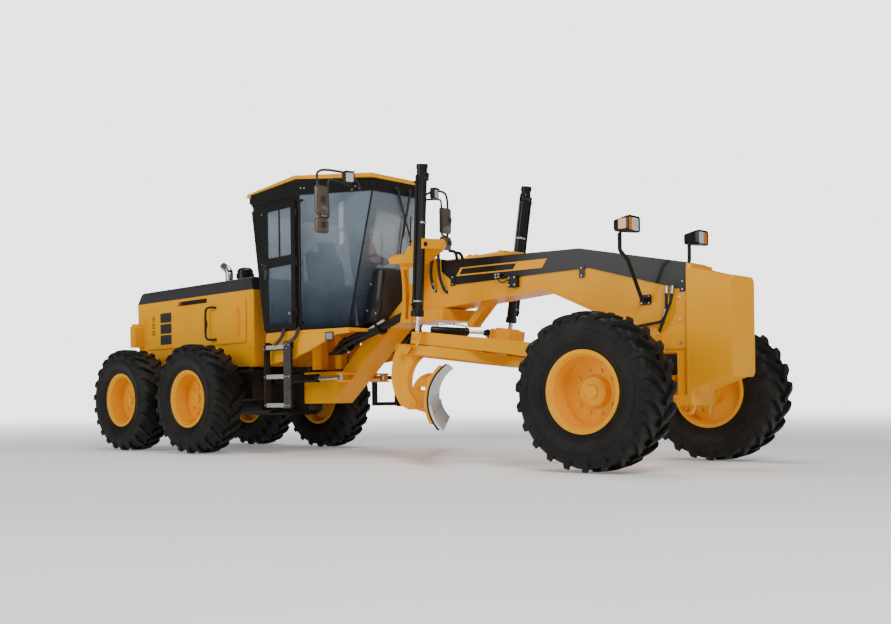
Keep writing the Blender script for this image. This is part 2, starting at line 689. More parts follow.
def drawn_in(outline, width):
    """An outline (n, 2) moved inwards by width: each corner goes along both its edges by width over their sine."""
    before, after = unit(np.roll(outline, 1, axis=0) - outline), unit(np.roll(outline, -1, axis=0) - outline)
    sine = np.abs(before[:, 0] * after[:, 1] - before[:, 1] * after[:, 0])
    return outline + (before + after) * (width / sine)[:, None]


def cab_post(form, corner, width, depth):
    """A post round one corner of the outline: width along both walls outside, depth further in."""
    loops = []
    for height in (GLASS_FOOT, GLASS_HEAD):
        loop = []
        for inset in (0.0, depth):
            outline = cab_outline(height, inset)
            at, last, following = outline[corner], outline[corner - 1], outline[(corner + 1) % 6]
            run = [at + unit(last - at) * width, at, at + unit(following - at) * width]
            loop += run if inset == 0 else run[::-1]
        loops.append(loop)
    form.grid(np.array(loops), closed=True, capped=True)


def cab_panel(form, corner, margins, low, high, insets):
    """A panel between a corner of the outline and the next: margins are left free at both ends, insets are the
    depths of its two faces."""
    loops = []
    for inset in insets:
        loop = []
        for height, ends in ((low, (0, 1)), (high, (1, 0))):
            outline = cab_outline(height, inset)
            first, second = outline[corner], outline[(corner + 1) % 6]
            run = unit(second - first)
            places = (first + run * margins[0], second - run * margins[1])
            loop += [places[end] for end in ends]
        loops.append(loop)
    form.grid(np.array(loops), closed=True, capped=True)


def eave(x):
    """Height of the roof's underside over x: straight falls from the middle corner."""
    return np.interp(x, ROOF_CORNERS[:, 0], [3.106, 3.157, 3.113])


class GRADER_OT_cab_shell(bpy.types.Operator):
    """Builds the six-sided cab: sill, posts, large panes, black fascia and crowned roof"""

    bl_idname = "grader.cab_shell"
    bl_label = "Cab shell"

    def execute(self, context):
        form = Form()
        plan = both_sides([(-1.047, -0.8125), (-0.430, -0.850), (0.237, -0.697)])
        form.prism(plan, (0, 0, 1.4005), ALONG, ACROSS, CAB_FLOOR - 1.4005, 1)
        ring = ((CAB_FLOOR, 0), (GLASS_FOOT, 0), (GLASS_FOOT, 0.06), (CAB_FLOOR, 0.06), (CAB_FLOOR, 0))
        form.grid(np.stack([cab_outline(*row) for row in ring]), closed=True)
        for pair, width, depth in (((0, 5), 0.062, 0.055), ((1, 4), 0.033, 0.055), ((2, 3), 0.011, 0.016)):
            for corner in pair:
                cab_post(form, corner, width, depth)
        for corner in (0, 4, 5):
            cab_panel(form, corner, (0.03, 0.03), DOOR_HEAD, GLASS_HEAD, (0.001, 0.054))
        # hinge pins of the doors, with two eyes each
        for side in (-1, 1):
            for level in (1.620, 2.180, 2.740):
                at = np.array([-0.417, side * 0.870, level])
                form.turned([(0.007, -0.021), (0.007, 0.081)], at, UP, 12)
                for low in (-0.021, 0.061):
                    form.turned([(0.009, 0.0), (0.009, 0.020)], at + UP * low, UP, 12)
                    middle = side * 0.8565
                    form.block((-0.426, middle - 0.0115, level + low), (-0.408, middle + 0.0115, level + low + 0.020))
        # fascia: the outline a little proud, up to the roof
        foot, head = cab_outline(GLASS_HEAD, -0.012), cab_outline(3.05, -0.012)
        head[:, 2] = eave(head[:, 0]) + 0.002
        form.grid(np.stack([foot, head]), closed=True, capped=True)
        # the blocks that carry the roof's rear corners
        for side in (-1, 1):
            form.block((-1.450, side * 0.690 - 0.035, 3.035), (-1.385, side * 0.690 + 0.035, 3.100))
        piece = make("cab_shell", form, "front_body", ["black_paint", "yellow_paint"], bevel=0.003)
        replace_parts(piece, "cab_frame", "cab_fascia")

        form = Form()
        for corner, margins, head in (
            (1, (0.034, 0.012), GLASS_HEAD), (2, (0.012, 0.012), GLASS_HEAD), (3, (0.012, 0.034), GLASS_HEAD),
            (5, (0.063, 0.063), DOOR_HEAD),
        ):
            cab_panel(form, corner, margins, GLASS_FOOT + 0.001, head - 0.001, (0.003, 0.009))
        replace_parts(make("cab_panes", form, "front_body", ["cab_glass"]), "cab_glass")

        # roof: the outline drawn in as it rises over the eave, and two lifting rings
        form = Form()
        angle = np.append(np.linspace(0, 2 * np.pi, 25)[:-1], 0)
        path = (-1.075, -0.700, 3.180) + 0.022 * np.stack([np.cos(angle), 0 * angle, np.sin(angle)], -1)
        form.tube(path, 0.004, 8, 1)
        form.mirror()
        rows = []
        for inset, rise in (
            (0.05, 0.0), (0.005, 0.0), (0.0, 0.005), (0.0, 0.042), (0.008, 0.048), (0.060, 0.051), (0.200, 0.052),
        ):
            outline = drawn_in(both_sides(ROOF_CORNERS), inset)
            rows.append(np.column_stack([outline, eave(outline[:, 0]) + rise]))
        form.grid(np.stack(rows), closed=True, capped=True)
        piece = make("cab_canopy", form, "front_body", ["yellow_paint", "bolt_steel"], sharp=30)
        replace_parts(piece, "cab_roof")
        return {"FINISHED"}


class GRADER_OT_cab_trim(bpy.types.Operator):
    """Adds the wipers, the door rails and handles, the grab rails and the fascia bolts"""

    bl_idname = "grader.cab_trim"
    bl_label = "Cab trim"

    def execute(self, context):
        # two crossing wiper arms, each with a blade, on the windscreen
        form = Form()
        out = np.cross(ACROSS, unit((FRONT_LEAN, 0.0, 1.0)))

        def on_screen(y, z, off):
            return np.array([CAB_FRONT + FRONT_LEAN * (z - CAB_LEVEL), y, z]) + out * off

        # both ends of the arm, both ends of the blade: y, z
        for start, end, top, foot in (
            ((-0.02, 3.04), (0.31, 2.47), (0.27, 2.76), (0.335, 2.22)),
            ((0.20, 3.04), (0.16, 2.50), (0.175, 2.78), (0.150, 2.26)),
        ):
            pivot = [(0.004, -0.02), (0.020, -0.02), (0.020, 0.012), (0.013, 0.020)]
            form.turned(pivot, on_screen(*start, 0.012), out, 16)
            arm = np.linspace(on_screen(*start, 0.034), on_screen(*end, 0.028), 6)
            form.tube(arm, np.linspace(0.014, 0.009, 6), 8)
            form.tube(np.linspace(on_screen(*top, 0.016), on_screen(*foot, 0.016), 6), 0.009, 6)
        make("wipers", form, "front_body", ["dark_plastic"], sharp=50)

        # grab rails beside the door posts, and the bolts of the fascia
        form = Form()
        form.tube(smooth_path([
            (-0.372, -0.815, 1.520), (-0.366, -0.858, 1.545), (-0.366, -0.866, 1.650), (-0.366, -0.866, 2.780),
            (-0.366, -0.858, 2.890), (-0.372, -0.815, 2.915),
        ], 6), 0.013, 10)
        form.mirror()
        make("grab_rails", form, "front_body", ["black_paint"], sharp=50)
        form = Form()
        first, second = cab_outline(GLASS_HEAD, -0.012)[1:3]
        run = unit(second - first)
        spots = np.array([(0.06, 0.075), (0.10, 0.070), (0.70, 0.055), (0.74, 0.030), (0.66, 0.020)])
        form.studs(first + spots[:, :1] * run + spots[:, 1:] * UP, (run[1], -run[0], 0.0), 0.011, 0.007)
        form.mirror()
        make("fascia_bolts", form, "front_body", ["bolt_steel"], sharp=25)

        # each door: stiles, sills, a middle rail, the bar between its sliding panes, handle and latch
        form = Form()
        run = unit((1.0, -REAR_SLOPE, 0.0))
        outward = np.cross(run, UP)

        def on_door(x, z, off=0.0):
            """A place on the door's sheet, off it by so much outwards."""
            return np.array([x, -HALF_WIDTH - REAR_SLOPE * (x - DOOR_POST_X), z]) + outward * off

        rear = [CAB_REAR - REAR_LEAN * (height - CAB_LEVEL) + 0.050 for height in (1.48, 2.87)]
        for places, depth in (
            ([(rear[0], 1.475), (-0.958, 1.475), (-0.958, 2.885), (rear[1], 2.885)], 0.022),
            ([(-0.507, 1.475), (-0.455, 1.475), (-0.455, 2.885), (-0.507, 2.885)], 0.022),
            ([(-0.990, 2.195), (-0.480, 2.195), (-0.480, 2.305), (-0.990, 2.305)], 0.024),
            ([(-0.746, 2.300), (-0.722, 2.300), (-0.722, 2.885), (-0.746, 2.885)], 0.016),
            ([(-0.990, 1.472), (-0.480, 1.472), (-0.480, 1.500), (-0.990, 1.500)], 0.020),
        ):
            flat = [((x + 0.90) / run[0], z) for x, z in places]
            form.prism(flat, on_door(-0.90, 0.0, 0.0105), run, UP, depth)
        latch, grip = on_door(-0.505, 1.590, 0.036), on_door(-0.985, 2.150, 0.036)
        form.prism(rounded(0.060, 0.150, 0.012), latch, run, UP, 0.022, 1)
        form.prism(rounded(0.030, 0.030, 0.010), latch + outward * 0.022 + UP * 0.045, run, UP, 0.012, 2)
        form.prism(rounded(0.060, 0.170, 0.014), grip, run, UP, 0.012, 1)
        form.tube(smooth_path([
            grip + off * outward + rise * UP + along * run for off, rise, along in
            ((0, 0.050, 0), (0.034, 0.054, 0), (0.042, 0.02, 0.03), (0.040, -0.02, 0.11))
        ], 6), 0.010, 10, 1)
        form.studs([on_door(-1.06, z, 0.036) for z in (1.53, 2.25, 2.84)], outward, 0.009, 0.005, finish=2)
        finishes = ["black_paint", "dark_plastic", "bolt_steel"]
        make_pair("cab_door_rails_", form, "cab_door_", finishes, bevel=0.002)
        return {"FINISHED"}


class GRADER_OT_mirrors(bpy.types.Operator):
    """Builds the mirrors: two rounded heads a side on bent double tubes, and the work lamps beside them"""

    bl_idname = "grader.mirrors"
    bl_label = "Mirrors"

    def execute(self, context):
        form = Form()
        upper = [(0.205, -0.430, 3.030), (0.262, -0.560, 3.052), (0.275, -0.700, 3.112), (0.250, -0.860, 3.130),
                 (0.190, -1.000, 3.135), (0.165, -1.062, 3.102), (0.168, -1.075, 3.020), (0.178, -1.060, 2.800),
                 (0.182, -1.048, 2.500)]
        lower = [(0.160, -0.460, 2.995), (0.215, -0.700, 3.020), (0.205, -0.880, 3.040), (0.190, -0.935, 2.990),
                 (0.192, -0.935, 2.660), (0.188, -0.955, 2.625), (0.180, -1.035, 2.615)]
        form.tube(smooth_path(upper, 7), 0.014, 10)
        form.tube(smooth_path(lower, 7), 0.012, 10)
        form.block((0.150, -0.475, 2.985), (0.225, -0.400, 3.055))
        for level, width, height in ((2.805, 0.190, 0.315), (2.530, 0.180, 0.165)):
            rows = []
            for scale, depth in (
                (0.93, 0.0), (1.0, 0.006), (1.0, 0.020), (0.97, 0.036), (0.86, 0.053), (0.66, 0.065), (0.36, 0.070),
            ):
                flat = rounded(width - (1 - scale) * 0.19, height - (1 - scale) * 0.19, 0.030)
                flat = flat * scale if scale < 0.9 else flat
                x = np.full(len(flat), 0.156 + depth)
                rows.append(np.column_stack([x, flat[:, 0] - 1.020, level + flat[:, 1]]))
            form.grid(np.stack(rows), closed=True, capped=True, finish=1)
            form.prism(rounded(width - 0.020, height - 0.020, 0.026), (0.1558, -1.020, level), -ACROSS, UP, 0.0012, 2)
            form.block((0.186, -1.069, level - 0.030), (0.238, -1.021, level + 0.030))
        form.mirror()
        finishes = ["dark_plastic", "mirror_back", "mirror_silver"]
        piece = make("mirror_sets", form, "front_body", finishes, bevel=0.002)
        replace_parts(piece, "mirrors")

        form = Form()
        facing = unit((0.30, 1.0, 0.0))
        forward = np.cross(facing, UP)
        at = np.array([0.250, -0.700, 3.075])
        form.prism(rounded(0.108, 0.115, 0.016), at, facing, UP, 0.055)
        form.prism(rounded(0.090, 0.098, 0.012), at + forward * 0.055, facing, UP, 0.007, 1)
        form.prism(rounded(0.126, 0.012, 0.004), at + UP * 0.062, facing, UP, 0.075)
        for end in (-1, 1):
            form.prism(rounded(0.008, 0.090, 0.003), at + facing * end * 0.060, facing, UP, 0.060)
        form.mirror()
        make("work_lamps", form, "front_body", ["dark_plastic", "clear_lens"], bevel=0.002)
        return {"FINISHED"}


class GRADER_OT_seat(bpy.types.Operator):
    """Adds the crowned pads of the driver's seat and its headrest"""

    bl_idname = "grader.seat"
    bl_label = "Seat pads"

    def execute(self, context):
        seat = np.array([-0.650, 0.0, 1.799])
        back_up = unit((-0.085, 0.0, 0.465))
        # name, middle of the resting face, direction along, width, length, thickness
        for name, middle, along, width, length, thick in (
            ("seat_cushion", seat + (0.070, 0, 0.108), -unit((0.38, 0.0, 0.025)), 0.450, 0.400, 0.075),
            ("seat_back", seat + (-0.172, 0, 0.345), back_up, 0.440, 0.460, 0.080),
            ("seat_headrest", seat + (-0.238, 0, 0.690), back_up, 0.270, 0.150, 0.090),
        ):
            form = Form()
            up = np.cross(ACROSS, along)
            flat = rounded(width, length, min(width, length) * 0.22, 7)
            corner = np.abs(np.sin(2 * np.arctan2(flat[:, 1], flat[:, 0]))) ** 2
            rows = []
            for share, rise in (
                (0.90, 0.0), (0.985, 0.14), (1.0, 0.36), (0.985, 0.60), (0.93, 0.80), (0.82, 0.92), (0.60, 0.985),
                (0.30, 1.0),
            ):
                ring = flat * share * (1 - 0.10 * corner * (1 - share))[:, None]
                rows.append(middle + ring[:, :1] * ACROSS + ring[:, 1:] * along + up * thick * rise)
            form.grid(np.stack(rows), closed=True, capped=True)
            piece = make(name, form, "front_body", ["seat_cloth"], sharp=70)
            smooth = piece.modifiers.new("round", "SUBSURF")
            smooth.levels = smooth.render_levels = 1
        return {"FINISHED"}


class GRADER_OT_valve_cover(bpy.types.Operator):
    """Builds the leaning cover of the control valves in front of the windscreen"""

    bl_idname = "grader.valve_cover"
    bl_label = "Valve cover"

    def execute(self, context):
        outline = np.array([
            (0.125, 1.500), (0.330, 1.500), (0.395, 1.640), (0.455, 2.020), (0.447, 2.085), (0.425, 2.104),
            (0.300, 2.088), (0.283, 2.070),
        ])
        rows = []
        for y, inset in ((-0.360, 0.022), (-0.352, 0.008), (-0.335, 0.0)):
            flat = drawn_in(outline, inset) if inset else outline
            rows.append(np.column_stack([flat[:, 0], np.full(len(flat), y), flat[:, 1]]))
        form = Form()
        form.grid(np.stack(rows), closed=True, capped=True, finish=1)
        spots = [(0.262, -0.360, 1.930), (0.200, -0.360, 1.640), (0.330, -0.360, 1.600)]
        form.studs(spots, -ACROSS, 0.012, 0.008, finish=2)
        form.mirror()
        form.grid(np.stack([rows[2], rows[2] * (1, -1, 1)]), closed=True)
        finishes = ["grey_paint", "black_paint", "bolt_steel"]
        piece = make("valve_hood", form, "front_body", finishes, sharp=30)
        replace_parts(piece, "valve_cover")
        return {"FINISHED"}


# Stripes, bare plates and bolts ---------------------------------------------------------------
class GRADER_OT_stripes(bpy.types.Operator):
    """Adds the slanted yellow stripe on the gooseneck's cover and the bare plate on the hood"""

    bl_idname = "grader.stripes"
    bl_label = "Stripes and bare plates"

    def execute(self, context):
        form = Form()
        flat = [(1.35, 1.928), (2.44, 1.905), (2.50, 1.990), (1.41, 2.013)]
        inner = [(1.395, 1.942), (2.09, 1.927), (2.135, 1.984), (1.437, 2.000)]
        form.prism(flat, (0, -0.1785, 0), ALONG, UP, 0.0015)
        form.prism(inner, (0, -0.1785, 0), ALONG, UP, 0.0025, 1)
        form.mirror()
        make("cover_stripes", form, "front_body", ["yellow_paint", "black_paint"])

        form = Form()
        plate = [(-3.080, 1.925), (-2.490, 1.925), (-2.490, 1.982), (-3.080, 1.982)]
        end = [(-3.145, 1.925), (-3.090, 1.925), (-3.090, 1.982), (-3.120, 1.982)]
        form.prism(plate, (0, -0.6202, 0), ALONG, UP, 0.003)
        form.prism(end, (0, -0.6202, 0), ALONG, UP, 0.003, 1)
        form.mirror()
        make("hood_plates", form, "rear_body", ["black_paint", "warn_red"])
        return {"FINISHED"}


def on_ellipse(centre, long, tall, count, start=0.0):
    """Evenly spaced places on an upright ellipse: centre + (long cos, 0, tall sin)."""
    angle = np.linspace(0, 2 * np.pi, count, endpoint=False) + start
    return centre + np.stack([long * np.cos(angle), 0 * angle, tall * np.sin(angle)], -1)


class GRADER_OT_bolts(bpy.types.Operator):
    """Adds the bolt heads on the frame, the ladders and the hood"""

    bl_idname = "grader.bolts"
    bl_label = "Bolts"

    def execute(self, context):
        big = context.scene.grader_trim.bolt_radius
        small = big * 0.62
        form = Form()
        tabs = ((1.305, 1.885), (2.895, 1.820), (3.920, 1.600))
        plate = ((3.32, 1.14), (3.32, 1.30), (3.90, 1.10), (3.90, 1.30), (3.90, 1.50), (3.42, 1.06), (3.78, 1.06))
        for centres, axis, radius, height in (
            ([(x, -0.184, z + rise) for x, z in tabs for rise in (-0.035, 0.035)], -ACROSS, small, 0.010),
            ([(x, -0.184, z) for x, z in plate], -ACROSS, big, 0.014),
            (on_ellipse((3.633, -0.206, 1.181), 0.056, 0.056, 8), -ACROSS, small, 0.010),
            (on_ellipse((3.565, -0.196, 1.50), 0.052, 0.042, 4, np.pi / 4), -ACROSS, small, 0.008),
            ([(4.005, -0.188, z) for z in (0.80, 0.95, 1.10)], ALONG, big, 0.014),
        ):
            form.studs(centres, axis, radius, height)
        form.mirror()
        make("frame_bolts", form, "front_body", ["bolt_steel"], sharp=25)

        form = Form()
        spots = [(x, -0.9315, z) for x in (-0.94, -0.54) for z in (0.585, 0.915, 1.235, 1.29)]
        form.studs(spots, -ACROSS, small, 0.008)
        form.mirror()
        make("ladder_bolts", form, "front_body", ["bolt_steel"], sharp=25)

        form = Form()
        xs = np.linspace(-1.60, -4.02, 7)
        form.studs([(x, -0.6205, 1.30) for x in xs] + [(x, -0.6205, 1.945) for x in xs[:2]], -ACROSS, small, 0.006)
        form.mirror()
        make("hood_bolts", form, "rear_body", ["bolt_steel"], sharp=25)
        return {"FINISHED"}


# Hoses, cylinders and ladders -----------------------------------------------------------------
# share of the hose radius, path: two at the head, two at the gooseneck's root, two thin ones between the blocks
HOSES = (
    (0.85, [(3.770, -0.195, 1.585), (3.785, -0.222, 1.480), (3.777, -0.224, 1.365), (3.740, -0.224, 1.300),
            (3.671, -0.222, 1.284), (3.560, -0.205, 1.274), (3.480, -0.178, 1.270)]),
    (0.85, [(3.828, -0.195, 1.580), (3.825, -0.218, 1.470), (3.790, -0.240, 1.360), (3.735, -0.222, 1.250),
            (3.690, -0.185, 1.204)]),
    (1.15, [(1.010, -0.110, 2.262), (1.034, -0.185, 2.245), (1.040, -0.212, 2.120), (1.028, -0.214, 1.980),
            (1.045, -0.205, 1.850), (1.060, -0.160, 1.790)]),
    (1.15, [(1.090, -0.110, 2.235), (1.115, -0.185, 2.215), (1.135, -0.212, 2.080), (1.150, -0.214, 1.950),
            (1.195, -0.205, 1.815), (1.215, -0.160, 1.765)]),
    (0.45, [(2.060, -0.185, 1.845), (1.985, -0.205, 1.800), (1.925, -0.205, 1.835), (1.950, -0.185, 1.885)]),
    (0.45, [(2.075, -0.185, 1.860), (2.020, -0.215, 1.870), (1.960, -0.205, 1.845), (1.900, -0.185, 1.875)]),
)
# both ends of each bright fitting
FITTINGS = (
    [(3.770, -0.190, 1.600), (3.776, -0.206, 1.535)], [(3.828, -0.190, 1.600), (3.828, -0.208, 1.530)],
    [(3.778, -0.224, 1.400), (3.768, -0.224, 1.330)], [(1.042, -0.209, 1.880), (1.055, -0.180, 1.805)],
    [(1.180, -0.209, 1.850), (1.208, -0.180, 1.785)], [(0.150, -0.370, 1.395), (0.430, -0.330, 1.520)],
)
# the bundle below the cab: its middle line, how far each point follows a hose's shift out and up, and the shifts
BUNDLE = np.array([(-0.560, -0.240, 1.185), (-0.300, -0.330, 1.215), (-0.090, -0.395, 1.270), (0.090, -0.390, 1.335),
                   (0.340, -0.290, 1.435), (0.520, -0.195, 1.530), (0.600, -0.150, 1.580)])
BUNDLE_OUT = np.array([0, 1, 1.4, 1, 0.6, 0, 0])
BUNDLE_UP = np.array([0, 1, 1, 0.7, 0.5, 0.5, 0.4])
BUNDLE_SHIFTS = ((0.00, 0.00), (0.045, 0.03), (-0.04, 0.045), (0.05, -0.035), (-0.05, -0.03), (0.0, 0.07))


class GRADER_OT_hoses(bpy.types.Operator):
    """Adds the fixed hoses at the head, at the gooseneck's root and under the cab, with their fittings"""

    bl_idname = "grader.hoses"
    bl_label = "Hoses"

    def execute(self, context):
        thick = context.scene.grader_trim.hose_radius
        form = Form()
        for share, path in HOSES:
            form.tube(smooth_path(path, 7), thick * share, 12)
        for number, (out, lift) in enumerate(BUNDLE_SHIFTS):
            path = BUNDLE + np.stack([0 * BUNDLE_UP, -out * BUNDLE_OUT, lift * BUNDLE_UP], -1)
            path[0, 0] += 0.05 * number
            form.tube(smooth_path(path, 7), thick * 1.35, 12)
        for at in np.array([(-0.090, -0.395, 1.275), (0.340, -0.290, 1.445)]):
            form.tube([at - (0.014, 0, 0.006), at + (0.014, 0, 0.006)], 0.085, 20, 2)
        for ends in FITTINGS:
            form.tube(ends, thick * 1.25, 12, 1)
        # valve blocks on the gooseneck, each with four studs
        for x, z, width, height in ((2.110, 1.800, 0.105, 0.120), (1.930, 1.872, 0.060, 0.045)):
            form.prism(rounded(width, height, 0.010), (x, -0.166, z), ALONG, UP, 0.055, 2)
            spots = [(x + a * width * 0.32, -0.221, z + b * height * 0.30) for a in (-1, 1) for b in (-1, 1)]
            form.studs(spots, -ACROSS, 0.011, 0.016, finish=1)
        form.mirror()
        make("fixed_hoses", form, "front_body", ["hose_rubber", "bolt_steel", "black_paint"], sharp=50)
        return {"FINISHED"}


class GRADER_OT_cylinder_trim(bpy.types.Operator):
    """Adds the bands, pipes and valves of the lift cylinders, the side-shift cylinder on the drawbar, and the
    saddle's cover plates"""

    bl_idname = "grader.cylinder_trim"
    bl_label = "Cylinder trim"

    def execute(self, context):
        # the lift cylinder runs from its upper pin down to the ball
        form = Form()
        top, ball = np.array([1.416, -0.816, 2.200]), np.array([1.305, -0.778, 1.275])
        down = unit(ball - top)
        ahead = unit(np.cross(ACROSS, down))

        def on_axis(height, off=0.0):
            return top + down * (top[2] - height) / -down[2] + ahead * off

        for height, reach, length, finish in (
            (2.900, 0.059, 0.075, 0), (2.425, 0.0570, 0.022, 1), (1.640, 0.0570, 0.018, 1), (1.530, 0.0585, 0.055, 0),
        ):
            form.turned([(0.050, 0.0), (reach - 0.002, 0.0), (reach, 0.003), (reach, length - 0.003),
                         (reach - 0.002, length), (0.050, length)], on_axis(height), down, 32, finish, capped=False)
        pipe = ((2.860, 0.050), (2.840, 0.068), (2.400, 0.068), (1.980, 0.068), (1.960, 0.050))
        form.tube(smooth_path([on_axis(*place) for place in pipe], 5), 0.009, 10, 1)
        form.prism(rounded(0.052, 0.160, 0.010), on_axis(1.880, 0.074) - ACROSS * 0.026, ALONG, UP, -0.052, 1)
        make_pair("lift_trim_", form, "lift_barrel_", ["black_paint", "bolt_steel"], bevel=0.0015)

        # side-shift cylinder: barrel, gland, rod, eye and its pin, two feet and a pipe
        form = Form()
        foot, head = np.array([1.215, -0.412, 1.360]), np.array([1.470, -0.108, 1.335])
        run = unit(head - foot)
        form.turned([(0.030, -0.02), (0.042, -0.012), (0.042, 0.37), (0.038, 0.385), (0.030, 0.385)], foot, run, 28)
        form.turned([(0.045, 0.34), (0.045, 0.375)], foot, run, 28)
        form.turned([(0.019, 0.37), (0.019, 0.56)], foot, run, 20, 1)
        eye = foot + run * 0.585
        form.turned([(0.042, -0.030), (0.046, -0.026), (0.046, 0.026), (0.042, 0.030)], eye, UP, 24)
        form.turned([(0.018, -0.10), (0.018, 0.040)], eye, UP, 16, 1)
        for at in (foot + run * 0.06, foot + run * 0.30):
            form.block(at - (0.030, 0.030, 0.085), at + (0.030, 0.030, -0.020))
        pipe = ((0.05, 0.040), (0.07, 0.066), (0.20, 0.070), (0.34, 0.062), (0.36, 0.040))
        form.tube(smooth_path([foot + run * along + UP * rise for along, rise in pipe], 6), 0.008, 8, 1)
        make("side_shift_cylinder", form, "drawbar", ["black_paint", "chrome_rod"], bevel=0.0015)

        form = Form()
        plate = [(0.679, 2.146), (0.700, 2.168), (0.767, 2.187), (0.928, 2.185), (0.955, 2.240), (0.983, 2.261),
                 (1.045, 2.240), (1.090, 2.252), (1.133, 2.228), (1.110, 2.130), (1.084, 2.068), (0.765, 2.092),
                 (0.700, 2.100)]
        form.prism(plate, (0, -0.470, 0), ALONG, UP, 0.045)
        form.mirror()
        make("saddle_plates", form, "front_body", ["yellow_paint"], bevel=0.008)
        return {"FINISHED"}


class GRADER_OT_ladder_trim(bpy.types.Operator):
    """Adds the ladders' bright steps, wide front plates and rails, and the markers on the skirt"""

    bl_idname = "grader.ladder_trim"
    bl_label = "Ladder trim"

    def execute(self, context):
        form = Form()
        for level in (0.585, 0.915, 1.255):
            form.block((-0.905, -0.938, level - 0.024), (-0.590, -0.860, level + 0.024), 1)
        form.prism(rounded(0.125, 0.770, 0.012), (-0.532, -0.932, 0.935), ALONG, UP, 0.006)
        for x, reach in ((-0.725, 0.060), (-0.500, 0.090)):
            form.tube(smooth_path([
                (x - 0.02, -0.925, 1.270), (x, -0.925, 1.300), (x + reach * 0.6, -0.905, 1.340),
                (x + reach * 0.8, -0.880, 1.385), (x + reach, -0.870, 1.440), (x + reach, -0.850, 1.460),
            ], 6), 0.021, 12)
        spots = [(x, -0.939, z) for x in (-0.565, -0.500) for z in (0.585, 0.915, 1.275)]
        form.studs(spots, -ACROSS, 0.011, 0.007, finish=2)
        form.mirror()
        make("ladder_trim", form, "front_body", ["grey_paint", "step_metal", "bolt_steel"], bevel=0.002)

        form = Form()
        at, facing = (-0.010, 0.2294 * 0.420 - HALF_WIDTH, 1.352), unit((0.667, 0.153, 0.0))
        form.prism(rounded(0.112, 0.094, 0.010), at, facing, UP, 0.008)
        form.prism(rounded(0.090, 0.072, 0.006), at, facing, UP, 0.010, 1)
        form.mirror()
        make("skirt_markers", form, "front_body", ["black_paint", "marker_grey"], bevel=0.001)
        return {"FINISHED"}


class GRADER_OT_hood_trim(bpy.types.Operator):
    """Adds the engine doors' louvres and grab handles, the exhaust's bright sleeve and the hoods of the rear lamps"""

    bl_idname = "grader.hood_trim"
    bl_label = "Hood trim"

    def execute(self, context):
        form = Form()
        slat = [(0.0, -0.007), (0.014, -0.011), (0.014, -0.008), (0.0, 0.007)]
        skin = -0.6395
        for middle in (1.790, 1.640, 1.490):
            form.prism(rounded(0.262, 0.132, 0.010), (-3.405, skin, middle), ALONG, UP, 0.004)
            for rise in np.linspace(-0.048, 0.048, 6):
                form.prism(slat, (-3.527, skin, middle + rise), -ACROSS, UP, -0.244)
        form.tube(smooth_path([
            (-2.268, -0.636, 1.840), (-2.290, -0.690, 1.846), (-2.370, -0.708, 1.835), (-2.402, -0.708, 1.780),
            (-2.402, -0.708, 1.640), (-2.402, -0.708, 1.500), (-2.370, -0.708, 1.442), (-2.290, -0.690, 1.430),
            (-2.268, -0.636, 1.436),
        ], 5), 0.015, 12, 1)
        form.prism(rounded(0.050, 0.090, 0.010), (-2.480, skin, 1.640), ALONG, UP, 0.014, 1)
        make_pair("engine_door_trim_", form, "engine_door_", ["grey_paint", "black_paint"], bevel=0.0015)

        # sleeve along the exhaust: upright, a bend of 95 mm radius, then straight to the mouth
        form = Form()
        bend = np.linspace(0, math.radians(59.3), 9)
        arc = np.stack([-2.910 + 0.095 * np.cos(bend), 0 * bend, 2.364 + 0.095 * np.sin(bend)], -1)
        path = np.vstack([[(-2.815, 0, 2.250), (-2.815, 0, 2.310)], arc, [(-2.905, 0, 2.4713), (-2.948, 0, 2.4968)]])
        form.tube(path, 0.0535, 28)
        form.tube([path[0] - UP * 0.004, path[0] + UP * 0.030], 0.060, 28)
        form.turned([(0.044, 0.0), (0.044, 0.0015)], path[-1], unit(path[-1] - path[-2]), 28, 1)
        make("exhaust_sleeve", form, "rear_body", ["pipe_metal", "black_paint"], sharp=40)

        form = Form()
        low, high = corners("rear_lamps")
        outline = [(low[0], low[2]), (high[0], low[2]), (high[0], high[2] + 0.010),
                   ((low[0] + high[0]) / 2, high[2] + 0.065), (low[0], high[2] + 0.010)]
        form.prism(outline, (0, -0.615, 0), ALONG, UP, high[1] - 0.615)
        form.mirror()
        piece = make("rear_lamp_hoods", form, "rear_body", ["yellow_paint"], bevel=0.006)
        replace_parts(piece, "rear_lamps")
        return {"FINISHED"}


